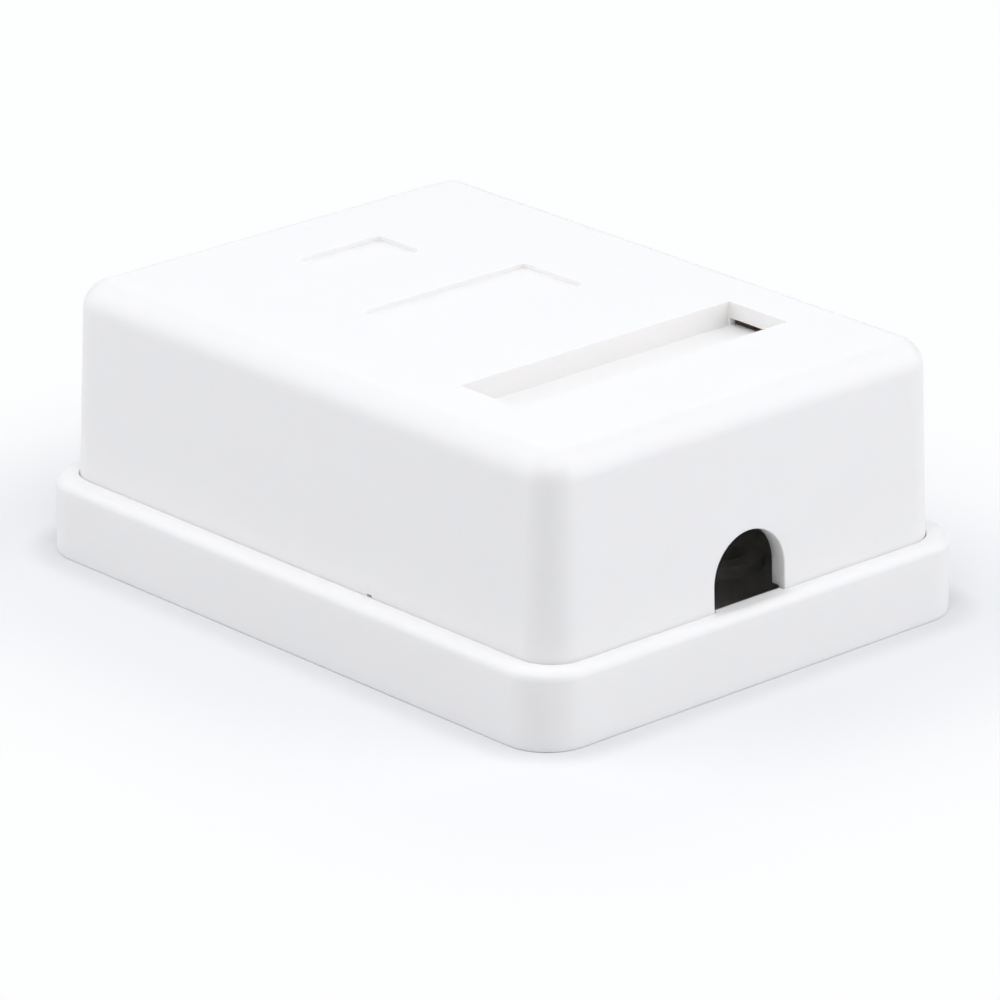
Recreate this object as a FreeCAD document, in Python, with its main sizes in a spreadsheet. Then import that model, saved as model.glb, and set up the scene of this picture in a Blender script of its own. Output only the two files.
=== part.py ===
import FreeCAD, Part
import math
import os
import re

import Sketcher

# Single-port surface-mount jack box, in millimetres.
# Frame: origin under the middle of the base, +Z away from the wall, +Y towards the cable entry,
# -Y towards the plug opening. A tray-shaped base carries the board, and a snap-on cover drops into it.

SIZES = (
    # outer tray
    ("base_width", 50.0, "overall width of the tray, across the plug opening"),
    ("base_length", 65.4, "overall length of the tray, plug end to cable end"),
    ("base_height", 7.0, "height of the tray's rim above the wall"),
    ("base_corner", 4.4, "plan radius of the tray's corners"),
    ("rim_round", 0.9, "rounding of the rim's outer edge"),
    ("floor_thick", 2.0, "thickness of the tray's floor"),
    ("ledge_side", 2.0, "width of rim left outside the cover, long sides"),
    ("ledge_end", 1.6, "width of rim left outside the cover, ends"),
    ("seam_gap", 0.1, "clearance between the cover and the inside of the rim"),
    # cover
    ("box_height", 24.8, "overall height of the closed box"),
    ("cover_wall", 1.6, "thickness of the cover's walls"),
    ("cover_top", 1.8, "thickness of the cover's top"),
    ("cover_corner", 3.4, "plan radius of the cover's corners at the rim"),
    ("cover_draft", 2.0, "draft of the cover's walls, in degrees"),
    ("cover_round", 2.5, "rounding round the cover's top"),
    ("inner_round", 0.9, "rounding inside the cover's top"),
    ("skirt_thick", 0.8, "thickness of the skirt that drops inside the rim"),
    ("skirt_drop", 1.2, "how far the skirt drops below the rim"),
    ("skirt_clear", 0.1, "clearance behind and under the skirt"),
    ("pry_width", 0.8, "width of the prying nick in the cover's edge"),
    ("pry_height", 0.3, "height of the prying nick"),
    ("pry_along", 9.0, "place of the prying nick along the box"),
    # recesses in the cover's top
    ("label_length", 30.6, "label recess, across the box"),
    ("label_width", 6.65, "label recess, along the box"),
    ("label_depth", 2.4, "depth of the label recess"),
    ("label_along", 15.8, "middle of the label recess along the box"),
    ("pan_wall", 1.2, "wall round the label recess inside the cover"),
    ("pan_floor", 1.2, "floor under the label recess"),
    ("tab_slot_high", 0.75, "height of the slot for the label window's tab"),
    ("class_length", 18.45, "middle recess, across the box"),
    ("class_width", 7.0, "middle recess, along the box"),
    ("class_along", -2.95, "middle of that recess along the box"),
    ("port_length", 9.3, "recess near the plug end, across the box"),
    ("port_width", 5.05, "recess near the plug end, along the box"),
    ("port_along", -17.9, "middle of that recess along the box"),
    ("print_depth", 0.35, "depth of the two shallow recesses"),
    ("print_corner", 0.9, "corner radius of the two shallow recesses"),
    # cable entry
    ("entry_width", 8.15, "width of the arched cable entry"),
    ("entry_height", 6.2, "height of the arch above the rim"),
    # guide pins and tubes that locate the cover
    ("guide_across", 17.5, "guide pins, from the middle plane"),
    ("guide_along", 3.2, "guide pins along the box"),
    ("guide_radius", 1.5, "radius of a guide pin"),
    ("guide_clear", 0.06, "radial clearance of a tube on its pin"),
    ("guide_top", 12.0, "height of a guide pin's tip above the wall"),
    ("guide_tip", 1.0, "height of the taper at a guide pin's tip"),
    ("tube_wall", 1.3, "wall of a tube in the cover"),
    ("tube_bottom", 4.6, "height of a tube's mouth above the wall"),
    # ribs that carry the cover
    ("rib_thick", 1.2, "thickness of a rib"),
    ("rib_reach", 2.5, "how far a rib reaches in from the rim"),
    # wall fixing and cable tie
    ("fix_spacing", 26.0, "distance between the two wall screw holes"),
    ("fix_along", 14.0, "wall screw holes along the box"),
    ("fix_radius", 2.1, "radius of a wall screw hole"),
    ("fix_boss", 4.0, "radius of the raised ring round the hole"),
    ("fix_raise", 1.0, "height of that ring above the floor"),
    ("tie_spacing", 8.4, "distance between the two cable-tie slots"),
    ("tie_along", 26.0, "cable-tie slots along the box"),
    ("tie_wide", 1.6, "width of a tie slot"),
    ("tie_long", 4.0, "length of a tie slot"),
    ("tie_sink", 0.9, "depth of the tie's groove under the floor"),
    # circuit board
    ("board_width", 30.4, "board, across the box"),
    ("board_length", 27.0, "board, along the box"),
    ("board_thick", 1.6, "thickness of the board"),
    ("board_lift", 2.6, "height of the board above the floor"),
    ("board_edge", 3.0, "board's plug-end edge behind the jack's face"),
    ("board_corner", 1.0, "corner radius of the board"),
    ("post_radius", 2.3, "radius of the posts under the board"),
    ("stake_radius", 0.95, "radius of a locating stake"),
    ("stake_rise", 1.2, "height of a stake above the board"),
    ("stake_inset", 2.0, "stakes, in from the board's edges"),
    ("screw_across", 11.7, "board screws, from the middle plane"),
    ("screw_inset", 3.4, "board screws behind the board's plug-end edge"),
    ("screw_radius", 0.85, "radius of a board screw's shank"),
    ("screw_length", 5.0, "length of a board screw under its head"),
    ("screw_head", 2.1, "radius of a board screw's head"),
    ("screw_head_high", 1.5, "height of a board screw's head"),
    ("hole_clear", 0.15, "radial clearance of holes in the board"),
    # modular jack
    ("jack_width", 15.4, "jack housing, across the box"),
    ("jack_depth", 18.0, "jack housing, along the box"),
    ("jack_height", 13.4, "jack housing above the board"),
    ("jack_back_set", 0.2, "jack's face behind the cover's face at the rim"),
    ("jack_clear", 0.25, "clearance between the jack and the cover"),
    ("jack_bevel", 0.6, "bevel of the jack housing's upper edges"),
    ("plug_width", 11.9, "width of the plug opening"),
    ("plug_height", 6.9, "height of the plug opening below its shoulders"),
    ("plug_sill", 2.4, "height of the opening's sill above the board"),
    ("plug_depth", 13.0, "depth of the plug opening"),
    ("latch_width", 6.3, "width of the opening above its shoulders"),
    ("latch_height", 1.6, "height of that part"),
    ("key_width", 3.3, "width of the slot for the plug's latch"),
    ("key_height", 1.2, "height of that slot"),
    ("peg_radius", 1.5, "radius of the jack's locating pegs"),
    ("peg_spacing", 11.4, "distance between the pegs"),
    ("peg_behind", 9.0, "pegs behind the jack's face"),
    # jack contacts
    ("contact_pitch", 1.02, "spacing of the jack contacts"),
    ("contact_wide", 0.46, "width of a contact's flat wire"),
    ("contact_thick", 0.36, "thickness of a contact's flat wire"),
    ("contact_bend", 0.6, "bend radius of a contact"),
    ("contact_slot", 0.62, "width of a contact's slot in the housing"),
    ("contact_front", 1.5, "contacts' front bend behind the jack's face"),
    ("contact_free", 11.6, "contacts' free end behind the jack's face"),
    ("contact_rise", 3.6, "free end's height above the opening's sill"),
    ("contact_run", 0.9, "height of a contact's lower run above the board"),
    ("tail_behind", 13.2, "first row of tails behind the jack's face"),
    ("tail_stagger", 2.54, "distance between the two rows of tails"),
    ("tail_drop", 1.2, "how far a tail stands out under the board"),
    # wire terminals
    ("block_across", 7.7, "middle of a terminal block from the middle plane"),
    ("block_behind", 5.3, "middle of a terminal block behind the jack"),
    ("block_length", 13.4, "terminal block, across the box"),
    ("block_width", 6.4, "terminal block, along the box"),
    ("block_height", 9.0, "terminal block above the board"),
    ("wire_pitch", 3.1, "spacing of the wire slots"),
    ("wire_slot", 1.2, "width of a wire slot"),
    ("wire_depth", 5.2, "depth of a wire slot"),
    ("tower_bevel", 0.7, "bevel of the block's upper edges"),
    ("fork_wide", 2.3, "width of a terminal's fork"),
    ("fork_thick", 0.5, "thickness of a terminal's fork"),
    ("fork_slit", 0.36, "width of the slit in a fork"),
    ("fork_below", 0.8, "fork's tip below the block's top"),
    ("fork_foot", 1.6, "foot of a fork above the board"),
    ("fork_clear", 0.06, "clearance of a fork in its pocket"),
    # push-on caps over the terminals
    ("cap_wall", 0.7, "wall of a terminal cap"),
    ("cap_clear", 0.1, "clearance of a cap on its block"),
    ("cap_skirt", 3.6, "how far a cap reaches down its block"),
    ("cap_notch", 1.5, "width of a wire notch in a cap"),
    ("cap_notch_high", 2.6, "height of a wire notch in a cap"),
    # ribs in the cover that hold the jack down
    ("press_thick", 1.2, "thickness of a hold-down rib"),
    ("press_spacing", 9.0, "distance between the hold-down ribs"),
    ("press_length", 11.0, "length of a hold-down rib"),
)

# Places worked out from the sizes above. Each line may use the ones before it.
PLACES = (
    ("half_width", "base_width / 2"),
    ("half_length", "base_length / 2"),
    ("cover_x", "half_width - ledge_side"),
    ("cover_y", "half_length - ledge_end"),
    ("rim_x", "cover_x + seam_gap"),
    ("rim_y", "cover_y + seam_gap"),
    ("rim_corner", "cover_corner + seam_gap"),
    ("skirt_in_x", "cover_x - skirt_thick"),
    ("skirt_in_y", "cover_y - skirt_thick"),
    ("skirt_in_corner", "cover_corner - skirt_thick"),
    ("groove_x", "skirt_in_x - skirt_clear"),
    ("groove_y", "skirt_in_y - skirt_clear"),
    ("groove_corner", "skirt_in_corner - skirt_clear"),
    ("skirt_bottom", "base_height - skirt_drop"),
    ("groove_bottom", "skirt_bottom - skirt_clear"),
    ("hollow_x", "cover_x - cover_wall"),
    ("hollow_y", "cover_y - cover_wall"),
    ("hollow_corner", "cover_corner - cover_wall"),
    ("ceiling", "box_height - cover_top"),
    ("label_bottom", "box_height - label_depth"),
    ("pan_bottom", "label_bottom - pan_floor"),
    ("print_bottom", "box_height - print_depth"),
    ("entry_radius", "entry_width / 2"),
    ("entry_spring", "base_height + entry_height - entry_radius"),
    ("tube_radius", "guide_radius + guide_clear + tube_wall"),
    ("fix_across", "fix_spacing / 2"),
    ("tie_across", "tie_spacing / 2"),
    ("board_bottom", "floor_thick + board_lift"),
    ("board_face", "board_bottom + board_thick"),
    ("jack_front", "-cover_y + jack_back_set"),
    ("jack_back", "jack_front + jack_depth"),
    ("jack_top", "board_face + jack_height"),
    ("board_front", "jack_front + board_edge"),
    ("board_back", "board_front + board_length"),
    ("screw_along", "board_front + screw_inset"),
    ("stake_across", "board_width / 2 - stake_inset"),
    ("stake_along", "board_back - stake_inset"),
    ("stake_top", "board_face + stake_rise"),
    ("pilot_bottom", "board_face - screw_length - hole_clear"),
    ("peg_across", "peg_spacing / 2"),
    ("peg_tip", "board_bottom - peg_radius / 3"),
    ("peg_along", "jack_front + peg_behind"),
    ("sill", "board_face + plug_sill"),
    ("shoulder", "sill + plug_height"),
    ("latch_top", "shoulder + latch_height"),
    ("run_level", "board_face + contact_run"),
    ("slot_bottom", "run_level - contact_thick - hole_clear"),
    ("slot_front", "jack_front + contact_front - 2 * contact_thick"),
    ("slot_back", "jack_front + contact_free + contact_thick"),
    ("tail_one", "jack_front + tail_behind"),
    ("tail_two", "tail_one + tail_stagger"),
    ("tail_hole", "contact_wide / 2 + hole_clear * 2"),
    ("block_along", "jack_back + block_behind"),
    ("block_top", "board_face + block_height"),
    ("wire_floor", "block_top - wire_depth"),
    ("fork_top", "block_top - fork_below"),
    ("cap_length", "block_length + 2 * (cap_clear + cap_wall)"),
    ("cap_width", "block_width + 2 * (cap_clear + cap_wall)"),
    ("cap_bottom", "block_top - cap_skirt"),
    ("press_bottom", "jack_top + jack_clear"),
)

# Ribs round the tray: places along the long sides, and from the middle plane at the two ends.
SIDE_RIBS = (("rib_a", -22.0), ("rib_b", -8.0), ("rib_c", 11.0), ("rib_d", 23.0))
END_RIBS = (("rib_inner", 10.5), ("rib_outer", 17.5))

CONTACTS = 8
WIRES_PER_BLOCK = 4
SIDES = (("left", -1), ("right", 1))
TINY = 0.01

doc = FreeCAD.newDocument("JackBox")


# ---- sheets -------------------------------------------------------------------------------------

def fill_sheet(name, rows):
    """A sheet with the name, the value and the note of each row; the value's cell has the alias."""
    sheet = doc.addObject("Spreadsheet::Sheet", name)
    for line, row in enumerate(rows, start=1):
        sheet.set("A%d" % line, row[0])
        sheet.set("B%d" % line, row[1])
        sheet.setAlias("B%d" % line, row[0])
        if len(row) > 2:
            sheet.set("C%d" % line, row[2])
    doc.recompute()
    return sheet


def with_sheets(text):
    """The expression with each size and place led by the name of its sheet."""
    def lead(match):
        word = match.group(0)
        if word in SIZE_NAMES:
            return "Sizes." + word
        if word in PLACE_NAMES:
            return "Places." + word
        return word
    return re.sub(r"[a-z][a-z_]+", lead, str(text))


SIZE_NAMES = {row[0] for row in SIZES} | {name for name, _ in SIDE_RIBS + END_RIBS}
PLACE_NAMES = {row[0] for row in PLACES}
rib_rows = tuple((name, place, "place of a rib") for name, place in SIDE_RIBS + END_RIBS)
sizes = fill_sheet("Sizes", [(name, str(value), note) for name, value, note in SIZES + rib_rows])
places = fill_sheet("Places", [(name, "=" + with_sheets(rule).replace("Places.", ""))
                               for name, rule in PLACES])


def size(name):
    """The number behind a size or a place."""
    return float(getattr(sizes if name in SIZE_NAMES else places, name))


def bind(thing, **rules):
    """Bind properties to expressions. A double underscore in a keyword stands for a dot."""
    for prop, rule in rules.items():
        thing.setExpression(prop.replace("__", "."), with_sheets(rule))


# ---- building blocks ----------------------------------------------------------------------------

def origin_plane(body, role):
    return next(item for item in body.Origin.OriginFeatures if item.Role == role)


def rounded_outline(body, name, half_x, half_y, corner, level, along="0"):
    """A sketch of a rectangle with round corners, centred across the box at a place along it."""
    sketch = body.newObject("Sketcher::SketchObject", name)
    sketch.AttachmentSupport = [(origin_plane(body, "XY_Plane"), "")]
    sketch.MapMode = "FlatFace"
    bind(sketch, AttachmentOffset__Base__y=along, AttachmentOffset__Base__z=level)
    x, y, r = (read(item) for item in (half_x, half_y, corner))
    corners = ((x - r, y - r), (r - x, y - r), (r - x, r - y), (x - r, r - y))
    normal = FreeCAD.Vector(0, 0, 1)
    for turn, (cx, cy) in enumerate(corners):
        circle = Part.Circle(FreeCAD.Vector(cx, cy, 0), normal, r)
        start = turn * math.pi / 2
        sketch.addGeometry(Part.ArcOfCircle(circle, start, start + math.pi / 2), False)
    ends = (((x - r, y), (r - x, y)), ((-x, y - r), (-x, r - y)),
            ((r - x, -y), (x - r, -y)), ((x, r - y), (x, y - r)))
    for first, last in ends:
        sketch.addGeometry(Part.LineSegment(FreeCAD.Vector(*first, 0), FreeCAD.Vector(*last, 0)), False)
    for turn in range(4):
        line, following = 4 + turn, (turn + 1) % 4
        sketch.addConstraint(Sketcher.Constraint("Tangent", turn, 2, line, 1))
        sketch.addConstraint(Sketcher.Constraint("Tangent", line, 2, following, 1))
        if turn:
            sketch.addConstraint(Sketcher.Constraint("Equal", 0, turn))
    sketch.addConstraint(Sketcher.Constraint("Horizontal", 4))
    sketch.addConstraint(Sketcher.Constraint("Symmetric", 0, 3, 2, 3, -1, 1))
    drive = (("DistanceX", 5, 1, 7, 1, 2 * x, "across", "2 * (%s)" % half_x),
             ("DistanceY", 6, 1, 4, 1, 2 * y, "lengthwise", "2 * (%s)" % half_y))
    for kind, one, one_end, two, two_end, value, title, rule in drive:
        index = sketch.addConstraint(Sketcher.Constraint(kind, one, one_end, two, two_end, value))
        sketch.renameConstraint(index, title)
        sketch.setExpression("Constraints." + title, with_sheets(rule))
    index = sketch.addConstraint(Sketcher.Constraint("Radius", 0, r))
    sketch.renameConstraint(index, "corner")
    sketch.setExpression("Constraints.corner", with_sheets(corner))
    return sketch


def read(rule):
    """The number behind a name, or behind a name halved with ' / 2'."""
    name, _, half = rule.partition(" / ")
    return size(name) / float(half) if half else size(name)


def raised(body, name, sketch, tall, draft=None):
    pad = body.newObject("PartDesign::Pad", name)
    pad.Profile = sketch
    bind(pad, Length=tall)
    if draft:
        bind(pad, TaperAngle=draft)
    return pad


def sunk(body, name, sketch, deep, upwards=False, draft=None):
    pocket = body.newObject("PartDesign::Pocket", name)
    pocket.Profile = sketch
    pocket.Reversed = upwards
    bind(pocket, Length=deep)
    if draft:
        bind(pocket, TaperAngle=draft)
    return pocket


def top_face(feature):
    """The name of the highest flat face of a feature."""
    flats = [(face.CenterOfMass.z, "Face%d" % (index + 1))
             for index, face in enumerate(feature.Shape.Faces)
             if face.Surface.TypeId == "Part::GeomPlane"]
    return max(flats)[1]


def level_edges(feature, level, direction=None):
    """The names of the edges that lie at a level, or only those that run along one direction."""
    names = []
    for index, edge in enumerate(feature.Shape.Edges):
        flat = all(abs(vertex.Z - size(level)) < TINY for vertex in edge.Vertexes)
        if flat and direction:
            flat = abs(edge.tangentAt(edge.FirstParameter).dot(direction)) > 1 - TINY
        if flat:
            names.append("Edge%d" % (index + 1))
    return names


def edged(body, kind, name, feature, parts, width):
    """A fillet or a chamfer on named edges or faces of a feature."""
    edge = body.newObject("PartDesign::" + kind, name)
    edge.Base = (feature, parts)
    bind(edge, **{"Radius" if kind == "Fillet" else "Size": width})
    return edge


def put(solid, x, y, z):
    bind(solid, Placement__Base__x=x, Placement__Base__y=y, Placement__Base__z=z)
    return solid


def block(name, low, span):
    """A box by its low corner and its extents, all as expressions."""
    box = doc.addObject("Part::Box", name)
    bind(box, Length=span[0], Width=span[1], Height=span[2])
    return put(box, *low)


def centred_block(name, middle, span, low_z, tall):
    """A box by its middle in plan, its plan extents, its lower level and its height."""
    low = ["%s - (%s) / 2" % (at, wide) for at, wide in zip(middle, span)]
    return block(name, (low[0], low[1], low_z), (span[0], span[1], tall))


def round_post(name, at, low_z, radius, tall):
    post = doc.addObject("Part::Cylinder", name)
    bind(post, Radius=radius, Height=tall)
    return put(post, at[0], at[1], low_z)


def core_block(name, low, span):
    """A body that starts as a box, ready for its edges to be worked."""
    body = doc.addObject("PartDesign::Body", name)
    box = body.newObject("PartDesign::AdditiveBox", name + "_box")
    box.AttachmentSupport = [(origin_plane(body, "XY_Plane"), "")]
    box.MapMode = "FlatFace"
    bind(box, Length=span[0], Width=span[1], Height=span[2], AttachmentOffset__Base__x=low[0],
         AttachmentOffset__Base__y=low[1], AttachmentOffset__Base__z=low[2])
    doc.recompute()
    return body, box


def joined(label, core, added, cut_away):
    """A piece: its core, with the added forms fused on and then the others cut away."""
    whole = core
    if added:
        whole = doc.addObject("Part::MultiFuse", label + "_joined")
        whole.Shapes = [core] + added
    piece = doc.addObject("Part::Cut", label)
    piece.Base = whole
    if len(cut_away) > 1:
        piece.Tool = doc.addObject("Part::MultiFuse", label + "_cutters")
        piece.Tool.Shapes = cut_away
    else:
        piece.Tool = cut_away[0]
    piece.Refine = True
    piece.Label = label
    return piece


# ---- base ---------------------------------------------------------------------------------------

def make_base():
    body = doc.addObject("PartDesign::Body", "base_tray")
    outline = rounded_outline(body, "base_outline", "half_width", "half_length", "base_corner", "0")
    slab = raised(body, "base_block", outline, "base_height")
    doc.recompute()
    edged(body, "Fillet", "base_rim_round", slab, [top_face(slab)], "rim_round")
    inside = rounded_outline(body, "base_inside", "rim_x", "rim_y", "rim_corner", "base_height")
    sunk(body, "tray_hollow", inside, "base_height - floor_thick")
    added, cut_away = cover_ribs(), skirt_grooves()
    for part, holes in (board_posts(), guide_pins(), wall_fixings()):
        added += part
        cut_away += holes
    return joined("base", body, added, cut_away + tie_slots())


def cover_ribs():
    """Upright ribs against the inside of the rim, level with it, that the cover's wall rests on."""
    tall = "base_height - floor_thick"
    ribs = []
    for name, _ in SIDE_RIBS:
        for side, sign in SIDES:
            low = "rim_x - rib_reach" if sign > 0 else "-rim_x"
            ribs.append(block("%s_%s" % (name, side), (low, name + " - rib_thick / 2", "floor_thick"),
                              ("rib_reach", "rib_thick", tall)))
    for name, _ in END_RIBS:
        for side, sign in SIDES:
            across = "%d * %s - rib_thick / 2" % (sign, name)
            for end, low in (("cable", "rim_y - rib_reach"), ("plug", "-rim_y")):
                ribs.append(block("%s_%s_%s" % (name, side, end), (across, low, "floor_thick"),
                                  ("rib_thick", "rib_reach", tall)))
    return ribs


def skirt_grooves():
    """The slot between the rim and the ribs, along each straight side, where the cover's skirt goes."""
    deep = "base_height - groove_bottom"
    grooves = []
    for side, sign in SIDES:
        low = "groove_x" if sign > 0 else "-rim_x"
        grooves.append(block("side_groove_" + side, (low, "rim_corner - rim_y", "groove_bottom"),
                             ("rim_x - groove_x", "2 * (rim_y - rim_corner)", deep)))
    for end, low in (("cable", "groove_y"), ("plug", "-rim_y")):
        grooves.append(block("end_groove_" + end, ("rim_corner - rim_x", low, "groove_bottom"),
                             ("2 * (rim_x - rim_corner)", "rim_y - groove_y", deep)))
    return grooves


def board_posts():
    """Posts under the board: two with pilot holes for screws, two with locating stakes."""
    posts, pilots = [], []
    for name, side in SIDES:
        screw_at = ("%d * screw_across" % side, "screw_along")
        stake_at = ("%d * stake_across" % side, "stake_along")
        posts.append(round_post("screw_post_" + name, screw_at, "floor_thick", "post_radius",
                                "board_lift"))
        posts.append(round_post("stake_post_" + name, stake_at, "floor_thick", "post_radius",
                                "board_lift"))
        posts.append(round_post("stake_" + name, stake_at, "floor_thick", "stake_radius",
                                "stake_top - floor_thick"))
        pilots.append(round_post("screw_pilot_" + name, screw_at, "pilot_bottom",
                                 "screw_radius + guide_clear", "board_bottom - pilot_bottom"))
    return posts, pilots


def guide_pins():
    """Two pins with tapered tips that locate the cover."""
    pins = []
    for name, side in SIDES:
        at = ("%d * guide_across" % side, "guide_along")
        pins.append(round_post("guide_pin_" + name, at, "floor_thick", "guide_radius",
                               "guide_top - guide_tip - floor_thick"))
        tip = doc.addObject("Part::Cone", "guide_tip_" + name)
        bind(tip, Radius1="guide_radius", Radius2="guide_radius - guide_tip / 2", Height="guide_tip")
        pins.append(put(tip, at[0], at[1], "guide_top - guide_tip"))
    return pins, []


def wall_fixings():
    """Raised rings with through holes for the two wall screws."""
    rings, holes = [], []
    for name, side in SIDES:
        at = ("%d * fix_across" % side, "fix_along")
        rings.append(round_post("fix_ring_" + name, at, "floor_thick", "fix_boss", "fix_raise"))
        holes.append(round_post("fix_hole_" + name, at, "0", "fix_radius", "floor_thick + fix_raise"))
    return rings, holes


def tie_slots():
    """Two slots through the floor for a cable tie, joined by a groove underneath."""
    slots = [centred_block("tie_slot_" + name, ("%d * tie_across" % side, "tie_along"),
                           ("tie_wide", "tie_long"), "0", "floor_thick") for name, side in SIDES]
    return slots + [centred_block("tie_groove", ("0", "tie_along"), ("tie_spacing", "tie_long"), "0",
                                  "tie_sink")]


# ---- cover --------------------------------------------------------------------------------------

def make_cover():
    body = doc.addObject("PartDesign::Body", "cover_shell")
    skirt = rounded_outline(body, "skirt_outline", "cover_x", "cover_y", "cover_corner", "skirt_bottom")
    raised(body, "cover_skirt", skirt, "skirt_drop")
    walls = rounded_outline(body, "cover_outline", "cover_x", "cover_y", "cover_corner", "base_height")
    hood = raised(body, "cover_walls", walls, "box_height - base_height", "-cover_draft")
    doc.recompute()
    edged(body, "Fillet", "cover_top_round", hood, [top_face(hood)], "cover_round")
    skirt_inside = rounded_outline(body, "skirt_inside", "skirt_in_x", "skirt_in_y", "skirt_in_corner",
                                   "base_height")
    sunk(body, "skirt_hollow", skirt_inside, "skirt_drop")
    inside = rounded_outline(body, "cover_inside", "hollow_x", "hollow_y", "hollow_corner",
                             "base_height")
    hollow = sunk(body, "cover_hollow", inside, "ceiling - base_height", True, "-cover_draft")
    doc.recompute()
    edged(body, "Fillet", "ceiling_round", hollow, level_edges(hollow, "ceiling"), "inner_round")
    tubes, bores = guide_tubes()
    pan, recess = label_recess()
    nick = centred_block("pry_nick", ("cover_x", "pry_along"), ("2 * cover_wall", "pry_width"),
                         "base_height", "pry_height")
    return joined("cover", body, tubes + pan + hold_down_ribs(),
                  bores + recess + print_recesses() + cable_entry() + [plug_opening(), nick])


def label_recess():
    """The pan inside the cover, and in it the open label recess and the slot for a window's tab."""
    middle = ("0", "label_along")
    pan = centred_block("label_pan", middle,
                        ("label_length + 2 * pan_wall", "label_width + 2 * pan_wall"),
                        "pan_bottom", "ceiling - pan_bottom + inner_round")
    recess = centred_block("label_well", middle, ("label_length", "label_width"),
                           "label_bottom", "2 * label_depth")
    slot = block("label_tab_slot",
                 ("-label_length / 2 - 2 * pan_wall", "label_along - label_width / 2", "label_bottom"),
                 ("3 * pan_wall", "label_width", "tab_slot_high"))
    return [pan], [recess, slot]


def guide_tubes():
    """Two tubes that slide over the base's guide pins."""
    tubes, bores = [], []
    for name, side in SIDES:
        at = ("%d * guide_across" % side, "guide_along")
        tubes.append(round_post("guide_tube_" + name, at, "tube_bottom", "tube_radius",
                                "ceiling - tube_bottom + inner_round"))
        bores.append(round_post("guide_bore_" + name, at, "tube_bottom", "guide_radius + guide_clear",
                                "guide_top + cover_top - tube_bottom"))
    return tubes, bores


def hold_down_ribs():
    """Two ribs under the cover's top that stop just above the jack."""
    return [block("hold_down_" + name,
                  ("%d * press_spacing / 2 - press_thick / 2" % side, "jack_back - press_length",
                   "press_bottom"),
                  ("press_thick", "press_length", "ceiling - press_bottom + inner_round"))
            for name, side in SIDES]


def print_recesses():
    """Two shallow recesses with round corners, left bare."""
    cutters = []
    for name in ("class", "port"):
        body = doc.addObject("PartDesign::Body", name + "_recess")
        sketch = rounded_outline(body, name + "_outline", name + "_length / 2", name + "_width / 2",
                                 "print_corner", "print_bottom", name + "_along")
        raised(body, name + "_cutter", sketch, "2 * print_depth")
        cutters.append(body)
    return cutters


def cable_entry():
    """An arch through the wall at the cable end, open down to the skirt's lower edge."""
    gate = block("entry_gate", ("-entry_radius", "hollow_y - cover_wall", "skirt_bottom"),
                 ("entry_width", "3 * cover_wall", "entry_spring - skirt_bottom"))
    arch = doc.addObject("Part::Cylinder", "entry_arch")
    arch.Placement = FreeCAD.Placement(FreeCAD.Vector(), FreeCAD.Rotation(FreeCAD.Vector(1, 0, 0), -90))
    bind(arch, Radius="entry_radius", Height="3 * cover_wall")
    return [gate, put(arch, "0", "hollow_y - cover_wall", "entry_spring")]


def plug_opening():
    """The opening for the jack's face, open down to the skirt's lower edge."""
    wide = "jack_width + 2 * jack_clear"
    return block("plug_gate", ("-(%s) / 2" % wide, "-cover_y - cover_wall", "skirt_bottom"),
                 (wide, "3 * cover_wall", "jack_top + jack_clear - skirt_bottom"))


# ---- board and its screws -----------------------------------------------------------------------

def make_board():
    body = doc.addObject("PartDesign::Body", "board_slab")
    outline = rounded_outline(body, "board_outline", "board_width / 2", "board_length / 2",
                              "board_corner", "board_bottom", "board_front + board_length / 2")
    raised(body, "board_sheet", outline, "board_thick")
    holes = []
    for name, side in SIDES:
        holes += [("screw_hole_" + name, "%d * screw_across" % side, "screw_along",
                   "screw_radius + 2 * hole_clear"),
                  ("stake_hole_" + name, "%d * stake_across" % side, "stake_along",
                   "stake_radius + hole_clear"),
                  ("peg_hole_" + name, "%d * peg_across" % side, "peg_along",
                   "peg_radius + hole_clear")]
        holes += [("fork_tail_hole_%s_%d" % (name, number + 1), wire_place(side, number),
                   "block_along", "tail_hole") for number in range(WIRES_PER_BLOCK)]
    holes += [("jack_tail_hole_%d" % (number + 1), contact_place(number), tail_place(number),
               "tail_hole") for number in range(CONTACTS)]
    drills = [round_post(name, (across, along), "board_bottom", radius, "board_thick")
              for name, across, along, radius in holes]
    return joined("circuit_board", body, [], drills)


def make_board_screws():
    """Two pan-head screws with a cross recess and plain shanks, as separate solids of one node."""
    screws = []
    for name, side in SIDES:
        at = ("%d * screw_across" % side, "screw_along")
        collar = round_post("screw_collar_" + name, at, "board_face", "screw_head",
                            "screw_head_high / 2")
        crown = doc.addObject("Part::Cone", "screw_crown_" + name)
        bind(crown, Radius1="screw_head", Radius2="screw_head * 0.7", Height="screw_head_high / 2")
        put(crown, at[0], at[1], "board_face + screw_head_high / 2")
        shank = round_post("screw_shank_" + name, at, "board_face - screw_length", "screw_radius",
                           "screw_length")
        bars = [centred_block("screw_bar_%s_%s" % (way, name), at, span,
                              "board_face + screw_head_high / 2", "screw_head_high")
                for way, span in (("across", ("screw_head", "screw_head / 5")),
                                  ("along", ("screw_head / 5", "screw_head")))]
        screws.append(joined("board_screw_" + name, collar, [crown, shank], bars))
    node = doc.addObject("Part::Compound", "board_screws")
    node.Links = screws
    node.Label = "board_screws"
    return node


# ---- modular jack -------------------------------------------------------------------------------

def contact_place(number):
    """Place across the box of a jack contact, counted from the left."""
    return "%.1f * contact_pitch" % (number - (CONTACTS - 1) / 2)


def tail_place(number):
    return "tail_two" if number % 2 else "tail_one"


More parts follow.
